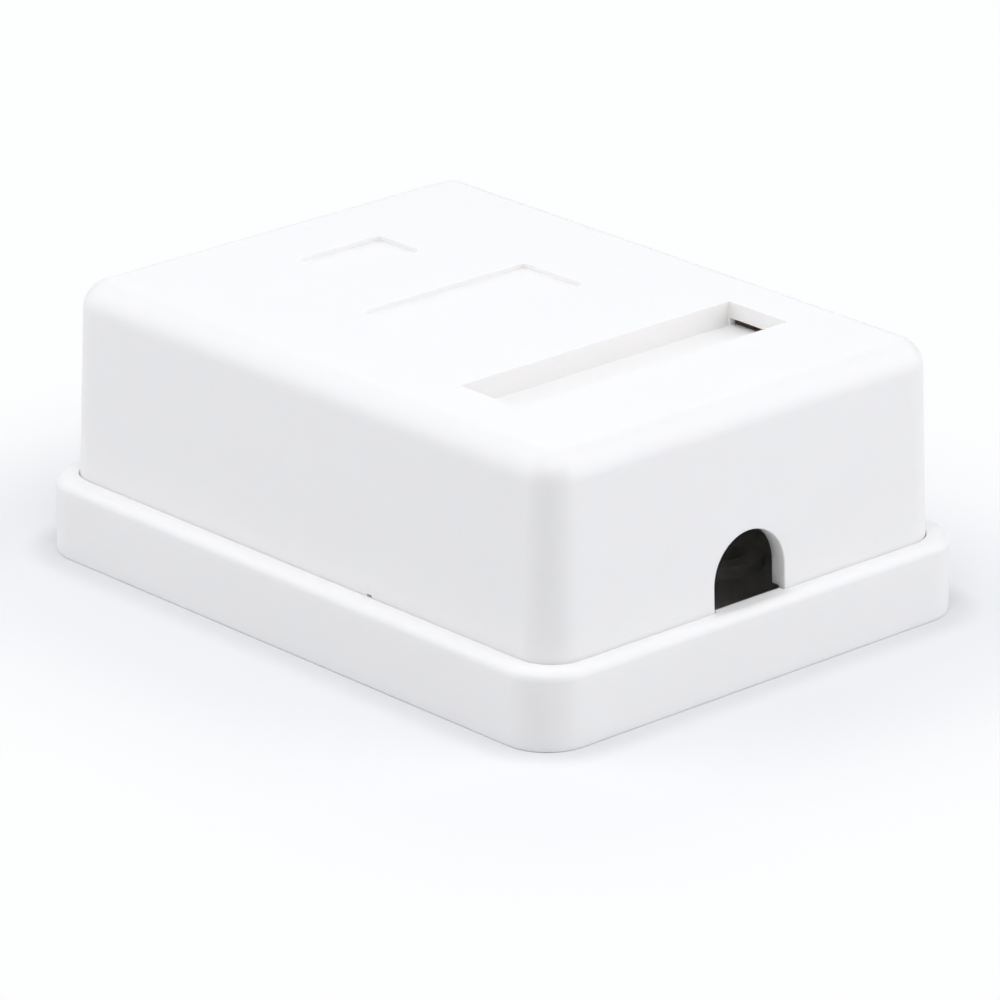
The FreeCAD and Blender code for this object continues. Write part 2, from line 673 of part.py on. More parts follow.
def make_jack_housing():
    body, shell = core_block("housing_block", ("-jack_width / 2", "jack_front", "board_face"),
                             ("jack_width", "jack_depth", "jack_height"))
    edged(body, "Chamfer", "housing_bevels", shell,
          level_edges(shell, "jack_top", FreeCAD.Vector(0, 1, 0)), "jack_bevel")
    steps = (("plug_step", "plug_width", "sill", "plug_height", "plug_depth"),
             ("latch_step", "latch_width", "shoulder", "latch_height", "plug_depth"),
             ("key_step", "key_width", "latch_top", "key_height", "plug_depth - peg_radius"))
    hollows = [block(name, ("-%s / 2" % wide, "jack_front", low_z), (wide, deep, tall))
               for name, wide, low_z, tall, deep in steps]
    for number in range(CONTACTS):
        left = contact_place(number) + " - contact_slot / 2"
        hollows.append(block("contact_slot_%d" % (number + 1), (left, "slot_front", "slot_bottom"),
                             ("contact_slot", "slot_back - slot_front", "sill - slot_bottom")))
        hollows.append(block("run_tunnel_%d" % (number + 1), (left, "slot_back", "board_face"),
                             ("contact_slot", "tail_two + contact_wide - slot_back",
                              "run_level - board_face + hole_clear")))
    pegs = [round_post("board_peg_" + name, ("%d * peg_across" % side, "peg_along"), "peg_tip",
                       "peg_radius", "board_face - peg_tip") for name, side in SIDES]
    return joined("jack_housing", body, pegs, hollows)


def bent_strip(points, bend, wide, thick):
    """A flat wire that follows points in the YZ plane, with round bends, centred on x = 0."""
    edges = []
    at = points[0]
    for before, corner, after in zip(points, points[1:], points[2:]):
        back = (before - corner).normalize()
        ahead = (after - corner).normalize()
        turn = math.pi - back.getAngle(ahead)
        reach = bend * math.tan(turn / 2)
        start, end = corner + back * reach, corner + ahead * reach
        centre = corner + (back + ahead).normalize() * (bend / math.cos(turn / 2))
        middle = centre + (corner - centre).normalize() * bend
        edges.append(Part.LineSegment(at, start).toShape())
        edges.append(Part.Arc(start, middle, end).toShape())
        at = end
    edges.append(Part.LineSegment(at, points[-1]).toShape())
    along = (points[1] - points[0]).normalize()
    beside = FreeCAD.Vector(1, 0, 0)
    across = along.cross(beside)
    corners = [points[0] + beside * (u * wide / 2) + across * (v * thick / 2)
               for u, v in ((1, 1), (-1, 1), (-1, -1), (1, -1), (1, 1))]
    return Part.Wire(edges).makePipeShell([Part.makePolygon(corners)], True, False, 1)


def make_jack_contacts():
    """Eight gilt spring contacts: tail through the board, run to the front, then up and back."""
    front = size("jack_front") + size("contact_front")
    free = size("jack_front") + size("contact_free")
    run = size("run_level") - size("contact_thick") / 2
    low = size("board_bottom") - size("tail_drop")
    rise = size("sill") + size("contact_rise")
    nodes = []
    for number in range(CONTACTS):
        tail = size(tail_place(number))
        fold = front - size("contact_bend") / 2
        points = [FreeCAD.Vector(0, y, z) for y, z in (
            (tail, low), (tail, run), (fold, run), (front, size("sill")), (free, rise))]
        node = doc.addObject("Part::Feature", "jack_contact_%d" % (number + 1))
        node.Shape = bent_strip(points, size("contact_bend"), size("contact_wide"),
                                size("contact_thick"))
        bind(node, Placement__Base__x=contact_place(number))
        nodes.append(node)
    return nodes


# ---- wire terminals -----------------------------------------------------------------------------

def wire_place(side, number):
    """Place across the box of a wire slot of the block on one side."""
    return "%d * block_across + %.1f * wire_pitch" % (side, number - (WIRES_PER_BLOCK - 1) / 2)


def make_terminal_block(name, side):
    low = ("%d * block_across - block_length / 2" % side, "block_along - block_width / 2", "board_face")
    body, tower = core_block("tower_" + name, low, ("block_length", "block_width", "block_height"))
    edged(body, "Chamfer", "tower_bevels_" + name, tower,
          level_edges(tower, "block_top", FreeCAD.Vector(1, 0, 0)), "tower_bevel")
    slots = []
    for number in range(WIRES_PER_BLOCK):
        at = (wire_place(side, number), "block_along")
        slots.append(centred_block("wire_slot_%s_%d" % (name, number + 1), at,
                                   ("wire_slot", "2 * block_width"), "wire_floor", "2 * wire_depth"))
        slots.append(centred_block("fork_pocket_%s_%d" % (name, number + 1), at,
                                   ("fork_wide + 2 * fork_clear", "fork_thick + 2 * fork_clear"),
                                   "board_face", "2 * block_height"))
    return joined("terminal_block_" + name, body, [], slots)


def make_fork(name, side, number):
    """A forked terminal that cuts through a wire's sleeve, with a tail through the board."""
    title = "%s_%d" % (name, number + 1)
    at = (wire_place(side, number), "block_along")
    tail = centred_block("fork_tail_" + title, at, ("contact_wide", "contact_wide"),
                         "board_bottom - tail_drop", "board_thick + tail_drop + fork_foot")
    plate = centred_block("fork_plate_" + title, at, ("fork_wide", "fork_thick"),
                          "board_face + fork_foot / 2", "fork_top - board_face - fork_foot / 2")
    slit = centred_block("fork_slit_" + title, at, ("fork_slit", "2 * fork_thick"),
                         "wire_floor", "2 * wire_depth")
    return joined("wire_fork_" + title, tail, [plate], [slit])


def make_terminal_cap(name, side):
    middle = ("%d * block_across" % side, "block_along")
    low = (middle[0] + " - cap_length / 2", "block_along - cap_width / 2", "cap_bottom")
    body, shell = core_block("cap_shell_" + name, low, ("cap_length", "cap_width",
                                                        "cap_skirt + cap_wall"))
    edged(body, "Fillet", "cap_round_" + name, shell, [top_face(shell)], "cap_wall / 2")
    hollows = [centred_block("cap_hollow_" + name, middle,
                             ("block_length + 2 * cap_clear", "block_width + 2 * cap_clear"),
                             "cap_bottom", "cap_skirt")]
    hollows += [centred_block("cap_notch_%s_%d" % (name, number + 1),
                              (wire_place(side, number), "block_along"), ("cap_notch", "2 * cap_width"),
                              "cap_bottom", "cap_notch_high") for number in range(WIRES_PER_BLOCK)]
    return joined("terminal_cap_" + name, body, [], hollows)


# ---- all of it ----------------------------------------------------------------------------------

def make_all():
    nodes = [make_base(), make_cover(), make_board(), make_board_screws(), make_jack_housing()]
    nodes += make_jack_contacts()
    for name, side in SIDES:
        nodes.append(make_terminal_block(name, side))
        nodes += [make_fork(name, side, number) for number in range(WIRES_PER_BLOCK)]
        nodes.append(make_terminal_cap(name, side))
    return nodes


def check_and_write(nodes):
    doc.recompute()
    faults = [item.Label for item in doc.Objects if {"Invalid", "Error"} & set(item.State)]
    faults += [node.Label for node in nodes if node.Shape.isNull() or not node.Shape.isValid()]
    if faults:
        raise RuntimeError("these did not build: " + ", ".join(sorted(set(faults))))
    os.makedirs("parts", exist_ok=True)
    for node in nodes:
        node.Shape.exportStep("parts/%s.step" % node.Label)
        print("%-22s solids %d  volume %9.2f mm3" % (node.Label, len(node.Shape.Solids),
                                                     node.Shape.Volume))


check_and_write(make_all())
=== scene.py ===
import math

import bmesh
import bpy
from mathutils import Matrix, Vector


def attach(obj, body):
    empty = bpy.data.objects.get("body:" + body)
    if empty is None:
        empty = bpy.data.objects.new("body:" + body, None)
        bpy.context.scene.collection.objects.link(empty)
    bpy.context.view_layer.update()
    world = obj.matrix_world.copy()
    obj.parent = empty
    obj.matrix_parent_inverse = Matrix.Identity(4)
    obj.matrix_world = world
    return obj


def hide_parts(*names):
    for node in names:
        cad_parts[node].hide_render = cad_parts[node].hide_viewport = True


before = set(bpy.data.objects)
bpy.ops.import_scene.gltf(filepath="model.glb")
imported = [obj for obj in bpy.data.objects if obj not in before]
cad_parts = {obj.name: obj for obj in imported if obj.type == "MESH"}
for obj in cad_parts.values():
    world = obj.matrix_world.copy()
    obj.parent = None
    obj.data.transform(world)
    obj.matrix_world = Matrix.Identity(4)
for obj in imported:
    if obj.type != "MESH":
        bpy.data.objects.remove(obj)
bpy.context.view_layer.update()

bl_info = {
    "name": "Surface-mount jack box",
    "version": (1, 0, 0),
    "blender": (4, 5, 0),
    "location": "View3D > Sidebar > Jack box",
    "description": "Surface-mount jack box with a snap-on cover, a board, a jack and terminals",
    "category": "Add Mesh",
}

MM = 0.001

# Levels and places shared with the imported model, in millimetres.
FLOOR = 2.0
RIM = 7.0
TOP = 24.8
SKIRT_BOTTOM = 5.8
CEILING = 23.0
COVER_HALF = (23.0, 31.1)
RIM_HALF = (23.04, 31.14)
BASE_HALF = (25.0, 32.7)
BASE_CORNER = 4.4
TRAY_CORNER = 3.36
COVER_WALL = 1.6
ARCH_WIDTH = 8.15
BOARD_FACE = 6.2
RIB_STEP = 5.7
BOARD_UNDERSIDE = 4.6
PLUG_TOP = 19.85
WELL_FLOOR = 22.6
SINK_FLOOR = 24.34
# What stands on the tray's floor starts inside it, and what hangs from the cover's roof ends in it.
ROOT = 1.6
ROOF_ROOT = 23.6
# Cutters that open the cover's top reach up to this level.
CLEAR = 26.0

# Places of what comes in pairs, on +X. The other one is its mirror image on -X.
GUIDE_AT = (17.5, 3.2)
SCREW_AT = (11.7, -24.5)
STAKE_AT = (13.2, -2.9)
FIXING_AT = (13.0, 14.0)
TIE_ACROSS = 4.2

# Two levels or places closer than this, in millimetres, are the same.
SLACK = 0.01
# Edges that turn by more than the first angle get a moulding radius, and faces that meet at less
# than the second are shaded as one round.
SHARP = math.radians(38.0)
ROUND = math.radians(52.0)


# ---- modelling by hand: small steps that every piece uses ----------------------------------------

def rest():
    """Leave edit mode and deselect everything."""
    if bpy.context.mode != "OBJECT":
        bpy.ops.object.mode_set(mode="OBJECT")
    bpy.ops.object.select_all(action="DESELECT")


def only(piece):
    """Select this piece alone and make it active."""
    rest()
    piece.select_set(True)
    bpy.context.view_layer.objects.active = piece


def named(piece, name):
    """Give a piece and its mesh the same name."""
    piece.name = piece.data.name = name
    return piece


def block(name, low, high):
    """A box between two corners in millimetres."""
    rest()
    middle = [(a + b) / 2 * MM for a, b in zip(low, high)]
    span = [(b - a) * MM for a, b in zip(low, high)]
    bpy.ops.mesh.primitive_cube_add(size=1, location=middle, scale=span)
    bpy.ops.object.transform_apply(location=True, rotation=True, scale=True)
    return named(bpy.context.object, name)


def post(name, at, low_z, high_z, radius, sides=32):
    """An upright cylinder in millimetres."""
    rest()
    bpy.ops.mesh.primitive_cylinder_add(
        vertices=sides, radius=radius * MM, depth=(high_z - low_z) * MM,
        location=(at[0] * MM, at[1] * MM, (low_z + high_z) / 2 * MM))
    bpy.ops.object.transform_apply(location=True, rotation=True, scale=True)
    return named(bpy.context.object, name)


def pick_edges(piece, wanted):
    """Select, in edit mode, the edges for which wanted(first, last) holds, in millimetres."""
    only(piece)
    bpy.ops.object.mode_set(mode="EDIT")
    bpy.ops.mesh.select_mode(type="EDGE")
    bpy.ops.mesh.select_all(action="DESELECT")
    mesh = bmesh.from_edit_mesh(piece.data)
    for edge in mesh.edges:
        if wanted(*(vertex.co / MM for vertex in edge.verts)):
            edge.select_set(True)
    bmesh.update_edit_mesh(piece.data)


def pick_faces(piece, wanted):
    """Select, in edit mode, the faces for which wanted(middle, normal, area) holds, in mm."""
    only(piece)
    bpy.ops.object.mode_set(mode="EDIT")
    bpy.ops.mesh.select_mode(type="FACE")
    bpy.ops.mesh.select_all(action="DESELECT")
    mesh = bmesh.from_edit_mesh(piece.data)
    for face in mesh.faces:
        if wanted(face.calc_center_median() / MM, face.normal, face.calc_area() / MM ** 2):
            face.select_set(True)
    bmesh.update_edit_mesh(piece.data)


def near(value, target):
    """Whether two lengths in millimetres are the same."""
    return abs(value - target) < SLACK


def on_side(at, side):
    """A place on +X, or its mirror image on -X."""
    return (at[0] * side, at[1])


def level(height):
    """A test for edges that lie at a height."""
    return lambda a, b: near(a.z, height) and near(b.z, height)


def upright(a, b):
    """A test for edges that run mostly up and down."""
    return abs(a.z - b.z) > 4 * math.hypot(a.x - b.x, a.y - b.y)


def bevel(width, segments):
    """Bevel the selected edges."""
    bpy.ops.mesh.bevel(offset_type="OFFSET", offset=width * MM, segments=segments, profile=0.5,
                       affect="EDGES", clamp_overlap=False)
    bpy.ops.object.mode_set(mode="OBJECT")


def resize(scale, level_z):
    """Scale what is selected about the piece's own upright axis."""
    bpy.ops.transform.resize(value=scale, center_override=(0, 0, level_z * MM))


def taper(half, drop):
    """The scale in plan that pulls a rectangle in by the same amount on every side."""
    return ((half[0] - drop) / half[0], (half[1] - drop) / half[1], 1)


def extrude(offset):
    """Extrude what is selected by an offset in millimetres."""
    bpy.ops.mesh.extrude_region_move(
        TRANSFORM_OT_translate={"value": [value * MM for value in offset]})


def rounded_block(name, half, low_z, high_z, corner, segments):
    """A box centred on the upright axis, with round upright corners."""
    piece = block(name, (-half[0], -half[1], low_z), (half[0], half[1], high_z))
    pick_edges(piece, upright)
    bevel(corner, segments)
    return piece


def leaning_block(name, half, low_z, high_z, corner, segments, lean):
    """A box with round upright corners whose walls lean in evenly from its foot to its top."""
    piece = rounded_block(name, half, low_z - 1.0, low_z, corner, segments)
    pick_faces(piece, lambda middle, normal, area: near(middle.z, low_z))
    bpy.ops.mesh.inset(thickness=lean * MM, depth=(high_z - low_z) * MM)
    pick_edges(piece, level(low_z - 1.0))
    bpy.ops.mesh.delete(type="VERT")
    pick_edges(piece, level(low_z))
    bpy.ops.mesh.edge_face_add()
    bpy.ops.mesh.select_all(action="SELECT")
    bpy.ops.mesh.normals_make_consistent(inside=False)
    bpy.ops.object.mode_set(mode="OBJECT")
    return piece


def gather(name, pieces):
    """Join pieces into one object."""
    rest()
    for piece in pieces:
        piece.select_set(True)
    bpy.context.view_layer.objects.active = pieces[0]
    if len(pieces) > 1:
        bpy.ops.object.join()
    return named(bpy.context.object, name)


def combine(piece, operation, tools, crossing=False):
    """Fuse the tools onto the piece, or cut them out of it. The tools are used up."""
    tool = gather(piece.name + "_tool", tools)
    only(piece)
    bpy.ops.object.modifier_add(type="BOOLEAN")
    step = piece.modifiers[-1]
    step.operation = operation
    step.solver = "EXACT"
    step.use_self = crossing
    step.object = tool
    bpy.ops.object.modifier_apply(modifier=step.name)
    bpy.data.objects.remove(tool, do_unlink=True)
    return piece


def tidy_flats(piece):
    """Merge doubles and dissolve the cuts that booleans leave across flat faces."""
    only(piece)
    bpy.ops.object.mode_set(mode="EDIT")
    bpy.ops.mesh.select_all(action="SELECT")
    bpy.ops.mesh.remove_doubles(threshold=0.002 * MM)
    bpy.ops.mesh.dissolve_limited(angle_limit=math.radians(0.4))
    bpy.ops.object.mode_set(mode="OBJECT")


def soften(piece, width):
    """Round every edge that is still sharp by a moulding radius."""
    only(piece)
    bpy.ops.object.modifier_add(type="BEVEL")
    edge = piece.modifiers[-1]
    edge.width = width * MM
    edge.segments = 2
    edge.limit_method = "ANGLE"
    edge.angle_limit = SHARP
    edge.use_clamp_overlap = False
    edge.miter_outer = "MITER_ARC"
    bpy.ops.object.modifier_apply(modifier=edge.name)


def smooth(piece):
    """Shade the rounds as rounds and keep the flats flat."""
    only(piece)
    bpy.ops.object.shade_smooth_by_angle(angle=ROUND)
    bpy.ops.object.modifier_add(type="WEIGHTED_NORMAL")
    normals = piece.modifiers[-1]
    normals.keep_sharp = True
    normals.weight = 50
    bpy.ops.object.modifier_apply(modifier=normals.name)


def finished(piece, body, slot, material, *nodes):
    """Give a finished piece its material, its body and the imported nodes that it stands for."""
    rest()
    piece.data.materials.clear()
    piece.data.materials.append(material)
    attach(piece, body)
    if nodes:
        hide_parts(*nodes)


# ---- materials -----------------------------------------------------------------------------------

def linear(hex_value):
    """An sRGB hex value such as "F2F2F0" as a linear colour."""
    channels = [int(hex_value[i:i + 2], 16) / 255 for i in (0, 2, 4)]
    return tuple(c / 12.92 if c <= 0.04045 else ((c + 0.055) / 1.055) ** 2.4
                 for c in channels) + (1.0,)


def add_node(tree, kind, place, values=None, links=None, **settings):
    """Add one node with its settings, its socket values and its incoming links."""
    made = tree.nodes.new(kind)
    made.location = place
    for name, value in settings.items():
        setattr(made, name, value)
    for socket, value in (values or {}).items():
        made.inputs[socket].default_value = value
    for socket, source in (links or {}).items():
        tree.links.new(source, made.inputs[socket])
    return made


def per_metre(pitch_mm):
    """The scale of a noise whose features are this far apart."""
    return 1 / (pitch_mm * MM)


def blank_material(name):
    """A new material and its empty node tree, or the one of that name with None."""
    material = bpy.data.materials.get(name)
    if material:
        return material, None
    material = bpy.data.materials.new(name)
    material.use_nodes = True
    material.node_tree.nodes.clear()
    return material, material.node_tree


def plastic(name, light, dark, roughness, grain_mm, grain_high_mm, mottle_mm, ior=1.53,
            depth=0.0, depth_mm=1.0):
    """A moulded plastic: faint cloudiness in its colour, the fine grain of an eroded mould, and the
    share of light that enters it and scatters, reddest furthest."""
    sheen_gap = 0.05
    material, tree = blank_material(name)
    if tree is None:
        return material
    place = add_node(tree, "ShaderNodeTexCoord", (-1000, 0))
    cloud = add_node(tree, "ShaderNodeTexNoise", (-800, 200),
                     {"Scale": per_metre(mottle_mm), "Detail": 3.0, "Roughness": 0.55},
                     {"Vector": place.outputs["Object"]})
    tint = add_node(tree, "ShaderNodeMix", (-500, 250), {6: linear(dark), 7: linear(light)},
                    {0: cloud.outputs["Fac"]}, data_type="RGBA")
    grain = add_node(tree, "ShaderNodeTexNoise", (-800, -150),
                     {"Scale": per_metre(grain_mm), "Detail": 2.0, "Roughness": 0.6},
                     {"Vector": place.outputs["Object"]})
    gloss = add_node(tree, "ShaderNodeMapRange", (-500, 0),
                     {"From Min": 0.3, "From Max": 0.7, "To Min": roughness - sheen_gap,
                      "To Max": roughness + sheen_gap}, {"Value": cloud.outputs["Fac"]})
    bump = add_node(tree, "ShaderNodeBump", (-500, -250),
                    {"Strength": 1.0, "Distance": grain_high_mm * MM},
                    {"Height": grain.outputs["Fac"]})
    shader = add_node(tree, "ShaderNodeBsdfPrincipled", (-200, 100),
                      {"IOR": ior, "Subsurface Weight": depth, "Subsurface Scale": depth_mm * MM,
                       "Subsurface Radius": (1.0, 0.85, 0.75)},
                      {"Base Color": tint.outputs[2], "Roughness": gloss.outputs["Result"],
                       "Normal": bump.outputs["Normal"]})
    add_node(tree, "ShaderNodeOutputMaterial", (100, 100),
             links={"Surface": shader.outputs["BSDF"]})
    return material


def metal(name, light, dark, roughness, streak_mm, streak_high_mm, stretch=(1, 1, 1)):
    """A bare metal or plating: slight patches of tarnish and fine drawn or rolled streaks."""
    patch_mm = 2.0
    material, tree = blank_material(name)
    if tree is None:
        return material
    place = add_node(tree, "ShaderNodeTexCoord", (-1200, 0))
    along = add_node(tree, "ShaderNodeMapping", (-1000, -150), {"Scale": stretch},
                     {"Vector": place.outputs["Object"]})
    patch = add_node(tree, "ShaderNodeTexNoise", (-800, 200),
                     {"Scale": per_metre(patch_mm), "Detail": 4.0, "Roughness": 0.6},
                     {"Vector": place.outputs["Object"]})
    tint = add_node(tree, "ShaderNodeMix", (-500, 250), {6: linear(dark), 7: linear(light)},
                    {0: patch.outputs["Fac"]}, data_type="RGBA")
    streak = add_node(tree, "ShaderNodeTexNoise", (-800, -150),
                      {"Scale": per_metre(streak_mm), "Detail": 2.0, "Roughness": 0.5},
                      {"Vector": along.outputs["Vector"]})
    gloss = add_node(tree, "ShaderNodeMapRange", (-500, 0),
                     {"From Min": 0.3, "From Max": 0.7, "To Min": roughness * 0.75,
                      "To Max": roughness * 1.3}, {"Value": patch.outputs["Fac"]})
    bump = add_node(tree, "ShaderNodeBump", (-500, -250),
                    {"Strength": 1.0, "Distance": streak_high_mm * MM},
                    {"Height": streak.outputs["Fac"]})
    shader = add_node(tree, "ShaderNodeBsdfPrincipled", (-200, 100), {"Metallic": 1.0},
                      {"Base Color": tint.outputs[2], "Roughness": gloss.outputs["Result"],
                       "Normal": bump.outputs["Normal"]})
    add_node(tree, "ShaderNodeOutputMaterial", (100, 100),
             links={"Surface": shader.outputs["BSDF"]})
    return material


def white_abs():
    # Injection-moulded ABS in signal white, from a finely eroded mould: an even satin white whose
    # highlights are broad and soft.
    return plastic("moulded_white_abs", "F8F5F3", "F6F3F1", 0.42, 0.16, 0.0025, 9.0,
                   depth=0.3, depth_mm=1.2)


def black_nylon():
    # Glass-filled nylon in black, moulded: slightly grey in the light, with a dull sheen.
    return plastic("moulded_black_nylon", "1B1B1D", "141416", 0.46, 0.12, 0.004, 3.0)


def ivory_polycarbonate():
    # Polycarbonate in ivory, moulded in a polished tool: glossier than the box, faintly yellow.
    return plastic("moulded_ivory_polycarbonate", "E9E3D0", "E3DCC6", 0.28, 0.3, 0.001, 4.0, 1.58)


def solder_mask():
    # Glass-epoxy laminate under green solder resist: the weave shows as a faint regular ripple.
    return plastic("resist_on_laminate", "1F6B3C", "185730", 0.3, 0.45, 0.003, 2.5)


def resist_over_copper():
    # The same resist where it lies on copper: a brighter green that stands up a hair.
    return plastic("resist_on_copper", "2E8A50", "277A46", 0.28, 0.45, 0.002, 2.5)


def white_ink():
    # Epoxy ink screened on the board: flat white, slightly uneven.
    return plastic("screened_white_ink", "E6E8E2", "D6DAD2", 0.6, 0.2, 0.003, 0.8)


def gilt_wire():
    # Drawn phosphor-bronze wire with a gold flash: warm, bright, finely drawn along its length.
    return metal("gold_flashed_wire", "F0C878", "DDAF57", 0.2, 0.08, 0.0006, (1, 0.15, 0.15))


def tinned_bronze():
    # Stamped phosphor bronze, tinned: pale grey and a little cloudy.
    return metal("tinned_bronze", "DEDCD6", "C6C3BB", 0.3, 0.15, 0.0008)


def zinc_plate():
    # Steel screw, zinc plated and passivated: bright bluish grey.
    return metal("zinc_plated_steel", "D5D9DE", "B9BFC6", 0.26, 0.1, 0.0008)


# ---- sizes and finishes that a user may change ---------------------------------------------------

def length(name, description, default_mm):
    """A length that a user may change, given in millimetres."""
    return bpy.props.FloatProperty(name=name, description=description, default=default_mm * MM,
                                   min=0.0, precision=5, unit="LENGTH")


class JackBoxSizes(bpy.types.PropertyGroup):
    """Sizes of the moulded shells that change how the box looks"""
    cover_corner: length("Cover corner", "Plan radius of the cover's upright corners", 3.4)
    cover_round: length("Cover round", "Rounding round the cover's top", 2.5)
    cover_lean: length("Cover lean", "How far the cover's walls lean in over their height", 0.62)
    base_corner: length("Base corner", "Plan radius of the tray's corners", BASE_CORNER)
    rim_round: length("Rim round", "Rounding of the rim's outer edge", 0.9)
    edge_radius: length("Edge radius", "Small radius left on every moulded edge", 0.12)
    sink_radius: length("Recess edge radius", "Radius left on the cover's recesses and nick", 0.04)


class JackBoxStage(bpy.types.PropertyGroup):
    """Camera and lamps"""
    azimuth: bpy.props.FloatProperty(
        name="Azimuth", description="Camera's angle round the box, from +X towards +Y",
        default=math.radians(47.2886), unit="ROTATION")
    elevation: bpy.props.FloatProperty(
        name="Elevation", description="Camera's angle above the horizon",
        default=math.radians(21.0069), unit="ROTATION")
    roll: bpy.props.FloatProperty(
        name="Roll", description="Camera's turn about its own axis",
        default=math.radians(0.1591), unit="ROTATION")
    distance: length("Distance", "From the camera to the point it looks at", 647.8)
    focal_length: bpy.props.FloatProperty(
        name="Focal length", description="Focal length in millimetres on a 36 mm sensor",
        default=261.0945, min=1.0)
    sky: bpy.props.FloatProperty(name="Sky", description="Strength of the even light all round",
                                 default=0.315, min=0.0)
    top_lamp: bpy.props.FloatProperty(name="Top lamp", description="Power of the lamp above",
                                      default=0.348, min=0.0, unit="POWER")
    left_lamp: bpy.props.FloatProperty(name="Left lamp", description="Power of the lamp on +X",
                                       default=1.5, min=0.0, unit="POWER")
    right_lamp: bpy.props.FloatProperty(name="Right lamp", description="Power of the lamp on +Y",
                                        default=1.615, min=0.0, unit="POWER")
    front_lamp: bpy.props.FloatProperty(name="Front lamp", description="Power of the front lamp",
                                        default=1.145, min=0.0, unit="POWER")
    back_lamp: bpy.props.FloatProperty(name="Back lamp", description="Power of the lamp behind",
                                       default=0.39, min=0.0, unit="POWER")


# The point on the table that the camera looks at, and the colours of the light and the background.
LOOK_AT = Vector((-12.7319, -13.5758, 0.0)) * MM
COOL_WHITE = (0.936, 0.962, 0.997)
FAR_WHITE = (0.985, 0.99, 0.995, 1.0)
# How far round the base the table is darker as painted shade, and where it starts and ends its fade
# to white.
PAINTED_SHADE_REACH = 4
FADE_START = 3
FADE_END = 34


# ---- stage ---------------------------------------------------------------------------------------

def floor_material():
    """A pale matt table: near the box it takes the box's cast shadow, with painted shade on top of it
    within a few millimetres of the base, and further off it fades to white.
    """
    material, tree = blank_material("pale_table")
    if tree is None:
        return material
    path = add_node(tree, "ShaderNodeLightPath", (-1000, 400))
    seen = add_node(tree, "ShaderNodeMath", (-800, 400), operation="ADD",
                    links={0: path.outputs["Is Camera Ray"], 1: path.outputs["Is Glossy Ray"]})
    seen = add_node(tree, "ShaderNodeMath", (-600, 400), operation="ADD", use_clamp=True,
                    links={0: seen.outputs[0], 1: path.outputs["Is Transmission Ray"]})
    place = add_node(tree, "ShaderNodeTexCoord", (-1400, 0))
    place = add_node(tree, "ShaderNodeVectorMath", (-1200, 0), links={0: place.outputs["Object"]},
                     operation="ABSOLUTE")
    place = add_node(tree, "ShaderNodeVectorMath", (-1000, 0),
                     {1: ((BASE_HALF[0] - BASE_CORNER) * MM, (BASE_HALF[1] - BASE_CORNER) * MM, 0)},
                     {0: place.outputs[0]}, operation="SUBTRACT")
    place = add_node(tree, "ShaderNodeVectorMath", (-800, 0), {1: (0, 0, 0)}, {0: place.outputs[0]},
                     operation="MAXIMUM")
    gap = add_node(tree, "ShaderNodeVectorMath", (-600, 0), links={0: place.outputs[0]},
                   operation="LENGTH")
    fade = add_node(tree, "ShaderNodeMapRange", (-400, 0),
                    {"From Min": (BASE_CORNER + FADE_START) * MM,
                     "From Max": (BASE_CORNER + FADE_END) * MM,
                     "To Min": 0.0, "To Max": 1.0},
                    {"Value": gap.outputs["Value"]}, interpolation_type="SMOOTHSTEP")
    # Painted shade: this mask darkens the table's own colour towards the base's outline, as contact
    # shade on top of the cast shadow.
    edge = add_node(tree, "ShaderNodeMapRange", (-600, -150),
                    {"From Min": BASE_CORNER * MM, "From Max": (BASE_CORNER + PAINTED_SHADE_REACH) * MM,
                     "To Min": 0.0, "To Max": 1.0},
                    {"Value": gap.outputs["Value"]}, interpolation_type="SMOOTHERSTEP")
    # The darker colour at the outline is painted shade; the paler one is the table's colour further
    # off.
    tint = add_node(tree, "ShaderNodeMix", (-600, -400), {6: linear("E3E2E2"), 7: linear("F2F1F1")},
                    {0: edge.outputs["Result"]}, data_type="RGBA")
    matt = add_node(tree, "ShaderNodeBsdfDiffuse", (-400, 250), {"Color": linear("E0E0E2")})
    pale = add_node(tree, "ShaderNodeBsdfDiffuse", (-400, -150), links={"Color": tint.outputs[2]})
    white = add_node(tree, "ShaderNodeEmission", (-400, -300),
                     {"Color": FAR_WHITE, "Strength": 1.0})
    shown = add_node(tree, "ShaderNodeMixShader", (-200, -50),
                     links={0: fade.outputs["Result"], 1: pale.outputs[0], 2: white.outputs[0]})
    mixed = add_node(tree, "ShaderNodeMixShader", (0, 100),
                     links={0: seen.outputs[0], 1: matt.outputs[0], 2: shown.outputs[0]})
    add_node(tree, "ShaderNodeOutputMaterial", (200, 100), links={"Surface": mixed.outputs[0]})
    return material


def set_world(strength):
    """Even light all round, with a white background for the camera and for reflections."""
    world = bpy.data.worlds.new("studio")
    world.use_nodes = True
    tree = world.node_tree
    tree.nodes.clear()
    path = add_node(tree, "ShaderNodeLightPath", (-800, 300))
    seen = add_node(tree, "ShaderNodeMath", (-600, 300), operation="ADD", use_clamp=True,
                    links={0: path.outputs["Is Camera Ray"],
                           1: path.outputs["Is Transmission Ray"]})
    light = add_node(tree, "ShaderNodeBackground", (-400, 100),
                     {"Color": COOL_WHITE + (1.0,), "Strength": strength})
    white = add_node(tree, "ShaderNodeBackground", (-400, -50),
                     {"Color": FAR_WHITE, "Strength": 1.0})
    mixed = add_node(tree, "ShaderNodeMixShader", (-150, 100),
                     links={0: seen.outputs[0], 1: light.outputs[0], 2: white.outputs[0]})
    add_node(tree, "ShaderNodeOutputWorld", (100, 100), links={"Surface": mixed.outputs[0]})
    bpy.context.scene.world = world


def soft_lamp(name, place_mm, size_mm, power):
    """A square lamp that faces the box."""
    rest()
    bpy.ops.object.light_add(type="AREA", location=[value * MM for value in place_mm])
    lamp = bpy.context.object
    lamp.name = lamp.data.name = name
    lamp.data.shape = "SQUARE"
    lamp.data.size = size_mm * MM
    lamp.data.energy = power
    lamp.data.color = COOL_WHITE
    lamp.rotation_euler = (-lamp.location).to_track_quat("-Z", "Y").to_euler()


